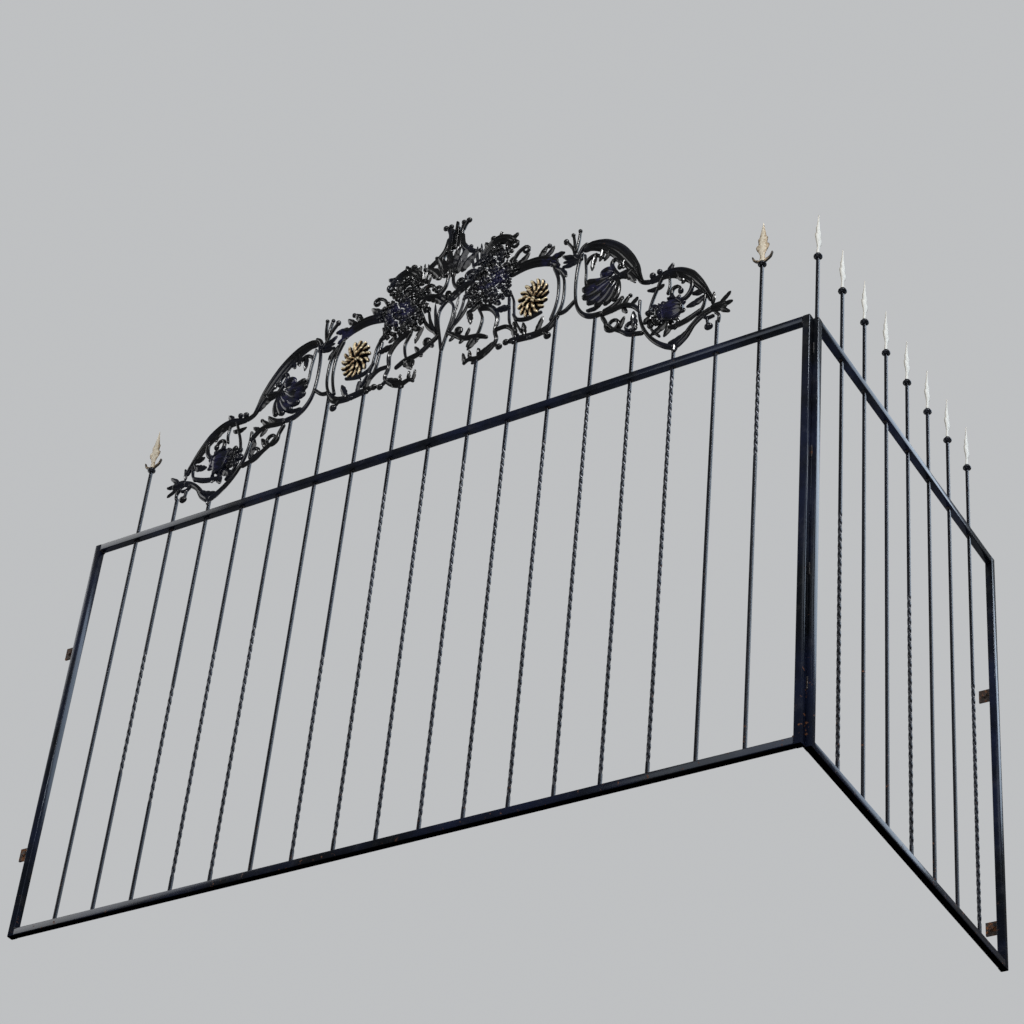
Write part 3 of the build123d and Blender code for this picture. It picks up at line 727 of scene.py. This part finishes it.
def draw(elements):
    """Rings and relief levels of each element of the drawing."""
    made = []
    for kind, *numbers in elements:
        if kind == STEM:
            made.append(stem_rings(*numbers))
        elif kind == LEAF:
            made.append(leaf_rings(*numbers))
        elif kind == BALL:
            made.append(ball_rings(*numbers))
        else:
            made += flower_rings(*numbers)
    return made


def cast_piece(name, made, side, material, replaced=(), up=CREST_UP):
    """Puts drawn castings in their place: across, up from the rail, and out to the front."""
    skins, relief = [], []
    for rings, level in made:
        place = np.stack([MIDDLE_X + side * rings[:, :, 0] / 1000, FRONT_Y - rings[:, :, 2] / 1000,
                          RAIL_TOP + up * rings[:, :, 1] / 1000], axis=-1)
        skins.append(ring_mesh(place))
        relief.append(np.concatenate([level.ravel(), level[:1].mean(axis=1), level[-1:].mean(axis=1)]))
    make_piece(name, skins, material, replaced, crease=60.0, relief=relief)


# where the enamel of the castings has kept an indigo cast: across and up from the middle of the
# rail, and reach, in metres
INDIGO_PLACES = [((0.150, 0.500), 0.055), ((0.335, 0.500), 0.045), ((0.494, 0.390), 0.040),
                 ((0.492, 0.325), 0.050), ((0.708, 0.176), 0.045)]
CAST_RUST = (0.07, 0.028, 0.012, 1.0)


def casting_paint(name, deep, sheen, indigo, ridge, rough):
    """Enamel over cast iron: black with a blue cast in clouds, indigo round the named places, greyer on the
    ridges that the relief attribute marks, partly as wear and partly as a painted highlight, and with fine
    brown rust."""
    paint, tree, spot = new_paint(name)
    clouds = spread(tree, noise(tree, spot, 9.0, 2.0), 0.48, 0.62)
    split = put(tree, "ShaderNodeSeparateXYZ", Vector=spot).outputs
    beside = reckon(tree, "ABSOLUTE", reckon(tree, "SUBTRACT", split["X"], MIDDLE_X))
    over_rail = reckon(tree, "SUBTRACT", split["Z"], RAIL_TOP)
    drawn = put(tree, "ShaderNodeCombineXYZ", X=beside, Y=over_rail)
    near = 0.0
    for (across, up), reach in INDIGO_PLACES:
        away = put(tree, "ShaderNodeVectorMath", operation="DISTANCE", i0=drawn, i1=(across, up, 0.0))
        fade = spread(tree, away.outputs["Value"], reach, reach * 0.5)
        near = reckon(tree, "MAXIMUM", fade, near)
    patches = spread(tree, noise(tree, spot, 40.0, 3.0), 0.42, 0.56)
    tinted = blend(tree, reckon(tree, "MULTIPLY", near, patches), blend(tree, clouds, deep, sheen), indigo)
    speck = noise(tree, spot, 110.0, 3.0, 0.6)
    relief = put(tree, "ShaderNodeAttribute", attribute_name="relief").outputs["Fac"]
    # greyer on high relief: partly wear, partly a painted highlight
    ridge_wear_and_highlight = spread(tree, reckon(tree, "MULTIPLY", relief, speck), 0.50, 0.74, 0.0, 0.3)
    rusted = spread(tree, noise(tree, spot, 60.0, 5.0, 0.7), 0.66, 0.74, 0.0, 0.7)
    colour = blend(tree, rusted, blend(tree, ridge_wear_and_highlight, tinted, ridge), CAST_RUST)
    dull = spread(tree, speck, 0.3, 0.7, rough, rough + 0.12)
    coat(tree, colour, dull, 0.16, speck, Specular_IOR_Level=0.5)
    return paint


# the fourth colour is the grey of the ridges: partly wear, partly a painted highlight
cast_enamel = casting_paint("cast_enamel", (0.0025, 0.0026, 0.003, 1.0), (0.004, 0.005, 0.011, 1.0),
                            (0.009, 0.009, 0.036, 1.0), (0.030, 0.034, 0.040, 1.0), rough=0.13)
# a lit gold, a shaded brown and near black: painted highlight on the petals, painted shade on their slopes
# and painted shade in the gaps between them
rosette_gilt = gilt("rosette_gilt", (1.0, 0.87, 0.58, 1.0), (0.25, 0.14, 0.055, 1.0),
                    (0.006, 0.004, 0.003, 1.0), metal=0.50, rough=0.20, low=0.37, high=0.87, uneven=0.28)

# right half of the teardrop loop in the middle, with leaves that lean out of it
TEARDROP = [
    (STEM, [(0, 294), (12, 350), (23, 405), (22, 440), (9, 462), (0, 466)], [10, 9, 8, 8, 9, 10]),
    (LEAF, (6, 326), (38, 472), 13, -6), (LEAF, (14, 345), (58, 464), 13, -9),
    (LEAF, (20, 362), (78, 457), 13, -11)]
# right half of the leaf body over it: curls, broad leaves and balls
LEAF_BODY = [
    (STEM, [(7, 566), (13, 524), (34, 500)] + curl((64, 530), 26, -110, 330), [8, 13, 15, 14, 12, 10, 9]),
    (STEM, curl((38, 521), 13, 250, -400), [10, 9, 8]), (BALL, (0, 484), (11, 20), 1.2, 3),
    (LEAF, (2, 466), (46, 494), 25, 6), (LEAF, (12, 460), (80, 500), 24, 10),
    (LEAF, (10, 545), (20, 657), 28, 8), (LEAF, (20, 556), (54, 642), 33, 7),
    (LEAF, (34, 556), (88, 612), 31, 6), (LEAF, (74, 560), (110, 574), 18, 5),
    (STEM, [(84, 536), (100, 520), (112, 540), (104, 556)], [12, 10, 9, 8]),
    (LEAF, (78, 512), (112, 508), 20, 4),
    (STEM, [(16, 560), (30, 590), (34, 628), (24, 652)], [8, 7, 7, 6], 1.3), (BALL, (56, 640), (6, 6)),
    (BALL, (90, 612), (7, 7)), (BALL, (110, 574), (7, 7))]
# right half of the crown: a middle prong, a side prong with knobs and a leaf below
PINNACLE = [
    (STEM, [(13, 640), (17, 690), (21, 736)], [20, 14, 11]),
    (STEM, [(0, 652), (0, 700), (0, 752)], [15, 11, 8], 1.3),
    (STEM, [(21, 712), (30, 735), (38, 742)], [10, 9, 8]), (BALL, (38, 742), (9, 8), 1.2),
    (BALL, (21, 742), (8, 7), 1.1), (STEM, [(22, 700), (30, 656), (52, 630), (80, 612)], [12, 16, 18, 12]),
    (LEAF, (30, 664), (64, 618), 18, -5), (STEM, [(7, 648), (8, 690), (10, 728)], [5, 5, 4], 1.5)]


def mirrored(made):
    """The drawing and its mirror image about the middle bar."""
    return made + [(rings * np.array([-1.0, 1.0, 1.0]), level) for rings, level in made]


for name, elements in (("teardrop", TEARDROP), ("leaf_body", LEAF_BODY), ("pinnacle", PINNACLE)):
    cast_piece("crest_%s_cast" % name, mirrored(draw(elements)), 1, cast_enamel,
               ["crest_" + name])

# small flowers of the bouquet: centre and size. Their rows of petals are drawn for BLOSSOM_SIZE
BOUQUET_BLOSSOMS = [
    (112, 566, 24), (146, 590, 20), (152, 556, 24), (180, 566, 19), (126, 528, 25), (164, 518, 24),
    (100, 492, 25), (140, 488, 26), (178, 484, 23), (198, 520, 19), (112, 452, 26), (152, 448, 26),
    (188, 450, 19), (88, 426, 19), (122, 420, 20), (156, 414, 18), (188, 418, 17), (76, 462, 19),
    (84, 528, 20), (212, 492, 17)]
BLOSSOM = [(5, 0.14, 0.94, 19.0, 0.0), (3, 0.05, 0.50, 14.0, 3.5)]
BLOSSOM_SIZE = 26.0
BLOSSOM_SWIRL = 0.9
blossoms = []
for k, (u, v, size) in enumerate(BOUQUET_BLOSSOMS):
    rows = [(petals, inner, outer, width * size / BLOSSOM_SIZE, lift + 2.0 * (k % 3))
            for petals, inner, outer, width, lift in BLOSSOM]
    blossoms.append((FLOWER, (u, v), (size, size * 1.1), rows, BLOSSOM_SWIRL * (-1) ** k))
# stems and leaves that frame the rosette
RING = [
    (STEM, [(203, 402), (208, 350), (213, 312), (226, 282), (246, 256)], [9, 8, 8, 8, 10]),
    (STEM, [(208, 412), (219, 384), (223, 352), (228, 320), (240, 292), (256, 262)], [7, 7, 7, 7, 7, 9]),
    (STEM, [(338, 456), (355, 405), (359, 352), (354, 310), (342, 268)], [15, 10, 8, 8, 11]),
    (STEM, [(352, 444), (372, 400), (377, 350), (373, 308), (358, 270)], [12, 8, 8, 8, 12]),
    (STEM, [(214, 248), (250, 244), (300, 240), (340, 250), (366, 284)], [14, 22, 23, 24, 13]),
    (STEM, [(221, 338), (238, 313), (272, 304), (314, 312)], [8, 12, 14, 8]),
    (LEAF, (240, 248), (228, 308), 20, 3), (LEAF, (266, 246), (258, 294), 18, 0),
    (LEAF, (299, 243), (320, 292), 20, 0), (BALL, (209, 247), (10, 9)), (BALL, (338, 221), (11, 10), 1.2),
    (STEM, [(322, 242), (333, 227)], [11, 9]), (LEAF, (262, 250), (296, 226), 16, 0),
    (STEM, [(362, 284), (386, 286), (416, 312)], [12, 12, 10]), (LEAF, (338, 448), (382, 400), 22, 5),
    (BALL, (232, 240), (7, 7), 1.2), (BALL, (282, 236), (8, 7), 1.2)]
# a broad fluted arch over a shell of petals
LARGE_SCROLL = [
    (STEM, [(424, 470), (414, 430), (411, 380), (413, 330), (420, 290), (438, 258), (466, 238), (504, 234)],
     [11, 10, 9, 9, 10, 13, 18, 17]),
    (STEM, [(432, 460), (440, 400), (443, 350), (460, 310)], [7, 7, 7, 7]),
    (STEM,
     [(426, 472), (450, 482), (484, 472), (513, 452), (541, 424), (567, 388), (590, 350), (603, 320),
      (616, 294), (642, 284)], [18, 34, 42, 45, 45, 42, 31, 18, 13, 15]),
    (STEM, [(584, 352), (562, 334), (538, 352), (519, 387), (526, 405), (541, 393), (543, 374)],
     [14, 14, 13, 13, 12, 10, 8]), (BALL, (543, 373), (7, 8), 1.2), (LEAF, (560, 398), (556, 360), 15, -3),
    (STEM, [(436, 420), (446, 438), (466, 444), (492, 424)], [9, 11, 12, 8]),
    (LEAF, (468, 452), (460, 390), 18, -3), (LEAF, (486, 466), (480, 414), 18, 3),
    (LEAF, (508, 448), (494, 410), 16, 2), (BALL, (506, 368), (22, 19), 1.3, 4),
    (LEAF, (520, 356), (446, 356), 24, 9, 1.2, 4.0, True),
    (LEAF, (524, 352), (436, 332), 29, 10, 1.3, 5.0, True),
    (LEAF, (526, 348), (438, 302), 29, 10, 1.4, 6.0, True),
    (LEAF, (530, 344), (454, 276), 28, 10, 1.4, 6.0, True),
    (LEAF, (534, 342), (478, 260), 27, 10, 1.3, 5.0, True),
    (LEAF, (538, 340), (506, 254), 25, 8, 1.2, 4.0, True),
    (LEAF, (542, 338), (532, 258), 22, 6, 1.1, 3.0, True),
    (LEAF, (522, 350), (470, 322), 17, 7, 1.9, 4.0, True),
    (LEAF, (528, 344), (494, 290), 16, 7, 1.9, 4.0, True),
    (STEM, [(520, 338), (560, 344), (602, 354)], [22, 24, 20]), (LEAF, (540, 344), (596, 296), 24, 12),
    (STEM, [(500, 236), (530, 243), (562, 268)], [18, 19, 8]), (LEAF, (450, 262), (498, 262), 18, -3)]
# a lower arch, with a curl and leaves that frame the rose
SMALL_SCROLL = [
    (STEM, [(612, 236), (613, 190), (623, 148), (642, 110), (668, 78), (698, 54), (724, 42)],
     [10, 9, 10, 12, 14, 17, 20]),
    (STEM, [(676, 292), (662, 255), (648, 212), (642, 168), (652, 125), (678, 92)], [9, 8, 8, 8, 8, 8]),
    (STEM, [(720, 42), (750, 66), (772, 96), (800, 118), (826, 128)], [24, 22, 15, 18, 20]),
    (LEAF, (724, 54), (722, 22), 20, 0),
    (STEM, [(692, 110), (722, 110), (758, 118), (796, 136)], [9, 16, 18, 12]),
    (LEAF, (702, 62), (768, 88), 22, -9),
    (STEM, [(636, 284), (662, 288), (692, 292), (722, 284), (754, 261), (784, 224), (807, 187), (823, 154)],
     [15, 22, 32, 37, 38, 28, 17, 15]), (BALL, (645, 303), (9, 9)), (BALL, (665, 308), (8, 8)),
    (LEAF, (690, 300), (706, 320), 20, 0), (LEAF, (682, 262), (632, 257), 19, 6),
    (STEM, [(694, 288), (698, 250), (692, 222)], [8, 7, 8]),
    (STEM, [(762, 258), (762, 216), (746, 192), (724, 192), (706, 212), (708, 236), (724, 238), (732, 222)],
     [12, 14, 14, 13, 12, 11, 9, 7]), (BALL, (731, 220), (8, 9), 1.3),
    (LEAF, (738, 262), (734, 240), 16, 2), (LEAF, (700, 140), (650, 104), 26, 4),
    (LEAF, (704, 128), (690, 84), 22, 3), (LEAF, (803, 180), (750, 158), 24, 4),
    (LEAF, (808, 204), (764, 196), 24, 4), (STEM, [(804, 196), (800, 150), (786, 124)], [9, 8, 9]),
    (LEAF, (730, 128), (720, 96), 18, 0), (LEAF, (716, 296), (742, 248), 16, -6)]
# three shoots with knobs, between the ring and the large scroll
SPRAY = [
    (STEM, [(426, 446), (404, 462), (392, 496), (372, 526)], [12, 11, 9, 9]), (BALL, (369, 528), (8, 9)),
    (STEM, [(398, 474), (396, 510), (390, 542)], [9, 8, 8]),
    (STEM, [(402, 478), (408, 512), (410, 548)], [9, 8, 7]), (BALL, (389, 544), (6, 6)),
    (BALL, (410, 550), (6, 6)), (LEAF, (410, 466), (362, 480), 20, 5),
    (LEAF, (414, 448), (364, 440), 20, 3), (LEAF, (408, 456), (366, 454), 14, 0),
    (STEM, [(410, 458), (424, 486), (440, 496)], [12, 12, 11])]
# waves and curls that join the large scroll to the small one
LINK = [
    (STEM, [(500, 230), (528, 232), (562, 236), (592, 224), (614, 198)], [15, 16, 17, 15, 11]),
    (STEM, [(500, 224), (514, 196)] + curl((536, 184), 21, 190, 380, 0.5), [12, 12, 11, 10, 9, 8]),
    (STEM, [(520, 190), (536, 170), (562, 152), (584, 134), (606, 128), (630, 122)],
     [9, 10, 12, 14, 14, 14]), (STEM, curl((588, 156), 17, 280, 400, 0.6), [12, 11, 10, 9]),
    (LEAF, (556, 160), (572, 196), 18, 3), (LEAF, (606, 140), (596, 204), 22, 3),
    (LEAF, (536, 236), (560, 262), 18, 0), (LEAF, (560, 238), (580, 260), 18, 0),
    (LEAF, (586, 232), (608, 246), 16, 0), (BALL, (582, 262), (6, 6)),
    (LEAF, (560, 230), (578, 204), 15, 0)]
# a bud of leaves at the outer end, with a knob that hangs from it
END_BUD = [
    (STEM, [(816, 130), (845, 127), (868, 130)], [22, 32, 18]), (LEAF, (846, 138), (877, 162), 15, 0),
    (LEAF, (852, 130), (884, 129), 17, 0), (LEAF, (846, 120), (877, 96), 15, 0),
    (LEAF, (824, 140), (829, 178), 14, 0), (STEM, [(796, 120), (810, 102), (832, 104)], [11, 10, 9]),
    (STEM, [(810, 106), (815, 72)], [9, 8]), (BALL, (817, 72), (12, 10), 1.2),
    (STEM, [(832, 114), (845, 98), (842, 76)], [10, 9, 9])]
# a hooked stem below the bouquet, and leaves beside the teardrop
LOWER_SCROLL = [
    (STEM,
     [(104, 404), (148, 386), (172, 346), (169, 300), (176, 266), (152, 238), (122, 225), (94, 232),
      (77, 221)], [24, 20, 14, 12, 12, 16, 19, 12, 9]), (BALL, (188, 240), (10, 9)),
    (STEM, [(166, 258), (186, 242)], [10, 9]), (LEAF, (82, 224), (75, 258), 14, 0),
    (LEAF, (118, 238), (172, 262), 22, -5), (LEAF, (100, 236), (96, 260), 14, 2),
    (LEAF, (124, 234), (122, 258), 15, -2), (LEAF, (148, 240), (138, 222), 14, 2),
    (LEAF, (120, 226), (106, 210), 14, 2), (LEAF, (40, 340), (24, 316), 16, 2),
    (LEAF, (70, 318), (58, 296), 16, 2), (LEAF, (74, 318), (88, 340), 14, 0),
    (LEAF, (108, 300), (116, 280), 15, 0),
    (STEM, [(10, 356), (40, 334), (72, 312), (118, 302), (148, 287)], [11, 16, 17, 18, 10]),
    (BALL, (50, 344), (14, 14), 1.2, 3), (LEAF, (124, 304), (88, 262), 24, -4),
    (LEAF, (100, 308), (84, 274), 18, 0), (LEAF, (70, 406), (88, 350), 20, 4),
    (STEM, [(108, 398), (123, 362), (120, 330), (112, 306)], [9, 8, 8, 8]),
    (LEAF, (162, 372), (214, 358), 26, 4), (STEM, [(164, 302), (204, 302), (236, 272)], [12, 13, 12])]
# a leafy bunch, filled with the small flowers
BOUQUET = [
    (STEM, [(98, 560), (112, 600), (142, 624), (174, 618), (204, 596)], [16, 30, 40, 34, 14]),
    (STEM, curl((200, 588), 13, 70, -300), [11, 9, 7]), (LEAF, (176, 610), (180, 572), 24, 4),
    (LEAF, (146, 612), (140, 578), 24, 3), (LEAF, (122, 606), (106, 632), 20, 3),
    (LEAF, (184, 616), (212, 624), 20, -3), (LEAF, (150, 628), (156, 650), 18, 0),
    (BALL, (130, 636), (10, 9)), (LEAF, (88, 560), (80, 628), 10, 3), (LEAF, (96, 564), (92, 634), 9, 0),
    (LEAF, (76, 548), (66, 606), 9, 2), (STEM, [(196, 510), (216, 552), (243, 567)], [9, 10, 9]),
    (STEM, curl((240, 552), 13, 100, -320), [10, 8, 6]), (LEAF, (196, 500), (256, 536), 26, -6),
    (STEM, [(192, 482), (250, 496), (300, 490), (348, 465)], [30, 36, 38, 24]),
    (LEAF, (288, 502), (312, 536), 22, 3), (BALL, (300, 522), (8, 7)),
    (LEAF, (302, 500), (334, 528), 20, -3), (LEAF, (318, 482), (370, 490), 26, 4),
    (LEAF, (322, 474), (358, 448), 22, 0), (BALL, (316, 536), (7, 7)),
    (LEAF, (186, 440), (214, 402), 24, -4), (LEAF, (72, 474), (52, 446), 20, 0),
    (LEAF, (82, 500), (58, 520), 20, 0), (LEAF, (110, 420), (72, 396), 20, 3),
    (LEAF, (160, 410), (180, 386), 18, -3)] + blossoms
SIDES = {"ring": RING, "large_scroll": LARGE_SCROLL, "small_scroll": SMALL_SCROLL, "spray": SPRAY,
         "link": LINK, "end_bud": END_BUD, "lower_scroll": LOWER_SCROLL, "bouquet": BOUQUET}
# a small flower, and beside it a ribbed bud in a ring of petals, with two bands over it
ROSE = [(FLOWER, (660, 163), (28, 34), [(7, 0.20, 1.0, 20.0, 0.0), (5, 0.10, 0.62, 15.0, 4.0)], 0.8, 1.1),
        (BALL, (708, 167), (33, 36), 1.6, 5),
        (FLOWER, (708, 167), (38, 43), [(9, 0.62, 1.0, 19.0, 0.0)], -0.5, 0.9),
        (STEM, [(672, 196), (682, 168), (690, 138), (716, 126)], [8, 9, 9, 6], 2.2),
        (STEM, [(694, 204), (716, 198), (736, 178), (738, 152)], [7, 8, 8, 6], 2.0)]
# three rows of petals over a flat dark backing
ROSETTE_ROWS = [(15, 0.40, 1.0, 12.0, 0.0), (9, 0.20, 0.66, 12.5, 3.5), (4, 0.04, 0.36, 13.0, 7.0)]
ROSETTE = [(FLOWER, (283, 366), (47, 63), ROSETTE_ROWS, 0.36, 1.5)]
ROSETTE_BACKING = [(BALL, (283, 366), (38, 54), 0.12)]
for hand, side in (("right", 1), ("left", -1)):
    crest = "crest_%s_" % hand
    for name, elements in SIDES.items():
        cast_piece(crest + name + "_cast", draw(elements), side, cast_enamel, [crest + name])
    cast_piece(crest + "rose_cast", draw(ROSE), side, cast_enamel, [crest + "rose"])
    cast_piece(crest + "rosette_gilt", draw(ROSETTE), side, rosette_gilt, [crest + "rosette"])
    cast_piece(crest + "rosette_backing", draw(ROSETTE_BACKING), side, cast_enamel)


# Front spear heads: the same cast blade and collar, between two leaves that curl outwards from the collar.
# They keep a warmer gilt, with more uneven wear and deeper painted shade at the edges, than those of the
# side.

FRONT_SPEAR_FOOT = 0.222
# middle line of a curled leaf, in millimetres out from the bar and up from the collar's top
CURL_REACH = [(1, -4), (11, 4), (22, 11), (28, 26)]
CURL_WIDTHS = [9, 9, 7, 4]
CURL_DEPTH = 0.6
# a lit, a shaded and a darkest copy of one warm gilt: painted highlight, painted shade, deepest painted
# shade
front_spear_paint = gilt("front_spear_paint", (0.78, 0.70, 0.56, 1.0), (0.40, 0.30, 0.19, 1.0),
                         (0.04, 0.03, 0.02, 1.0), metal=0.30, rough=0.34, low=0.30, high=0.96, uneven=0.34)
front_collar = RAIL_TOP + FRONT_SPEAR_FOOT
outermost = 1000 * (LAST_BAR - MIDDLE_BAR) * PITCH
base = 1000 * (FRONT_SPEAR_FOOT + COLLAR_HEIGHT)
for hand, side, number in (("left", -1, 1), ("right", 1, LAST_BAR)):
    x = bar_places[number]
    spear = "front_%s_spear_" % hand
    blade = blade_skin(x, FRONT_Y, front_collar + COLLAR_HEIGHT, (1.0, 0.0))
    make_piece(spear + "blade", [blade], front_spear_paint, ["front_%s_finial" % hand],
               crease=25.0, relief=[blade_relief(blade)])
    make_piece(spear + "collar", [collar_skin(x, FRONT_Y, front_collar)], bar_enamel)
    curls = []
    for way in (-1, 1):
        points = [(outermost + way * out, base + up) for out, up in CURL_REACH]
        rings, level = stem_rings(points, CURL_WIDTHS, CURL_DEPTH)
        # the leaves' relief falls from root to tip, so the gilt paints them darker towards the tip: painted
        # shade
        curls.append((rings, level * np.linspace(0.9, 0.0, len(level))[:, None]))
    cast_piece(spear + "leaves", curls, side, front_spear_paint, up=1.0)


# Lugs: flat steel plates, drilled and welded beside the end stiles, rusty under thin paint. Each
# takes one anchor bolt with a washer.

LUGS = ["left_lower_lug", "left_upper_lug", "side_lower_lug", "side_upper_lug"]
# reach, thickness and number of sides
WASHER = (0.0085, 0.0016, 20)
BOLT_HEAD = (0.0075, 0.0070, 6)
lug_rust = enamel("lug_rust", (0.020, 0.017, 0.017, 1.0), (0.060, 0.032, 0.020, 1.0), rough=0.5,
                  rust=0.52, rust_low=0.05, dust=0.3, grain=300.0, peel=0.9, tint=(1.0, 1.0, 1.0, 1.0))


def disc_skin(x, face, z, reach, thick, sides):
    """A flat disc or nut that stands out in front of a face, with its outer edge drawn in."""
    turn = full_turn(sides)
    levels = np.array([0.0, thick * 0.8, thick])
    width = np.array([1.0, 1.0, 0.86]) * reach
    return ring_mesh(np.stack([x + width[:, None] * np.cos(turn),
                               np.repeat(face - levels[:, None], sides, axis=1),
                               z + width[:, None] * np.sin(turn)], axis=-1))


for node in LUGS:
    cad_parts[node].data.materials.clear()
    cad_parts[node].data.materials.append(lug_rust)
    low, high = (np.array(corner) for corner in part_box(node))
    x, z, face = (low[0] + high[0]) / 2, (low[2] + high[2]) / 2, low[1]
    skins = [disc_skin(x, face, z, *part) for part in (WASHER, BOLT_HEAD)]
    make_piece(node + "_bolt", skins, lug_rust, crease=30.0)
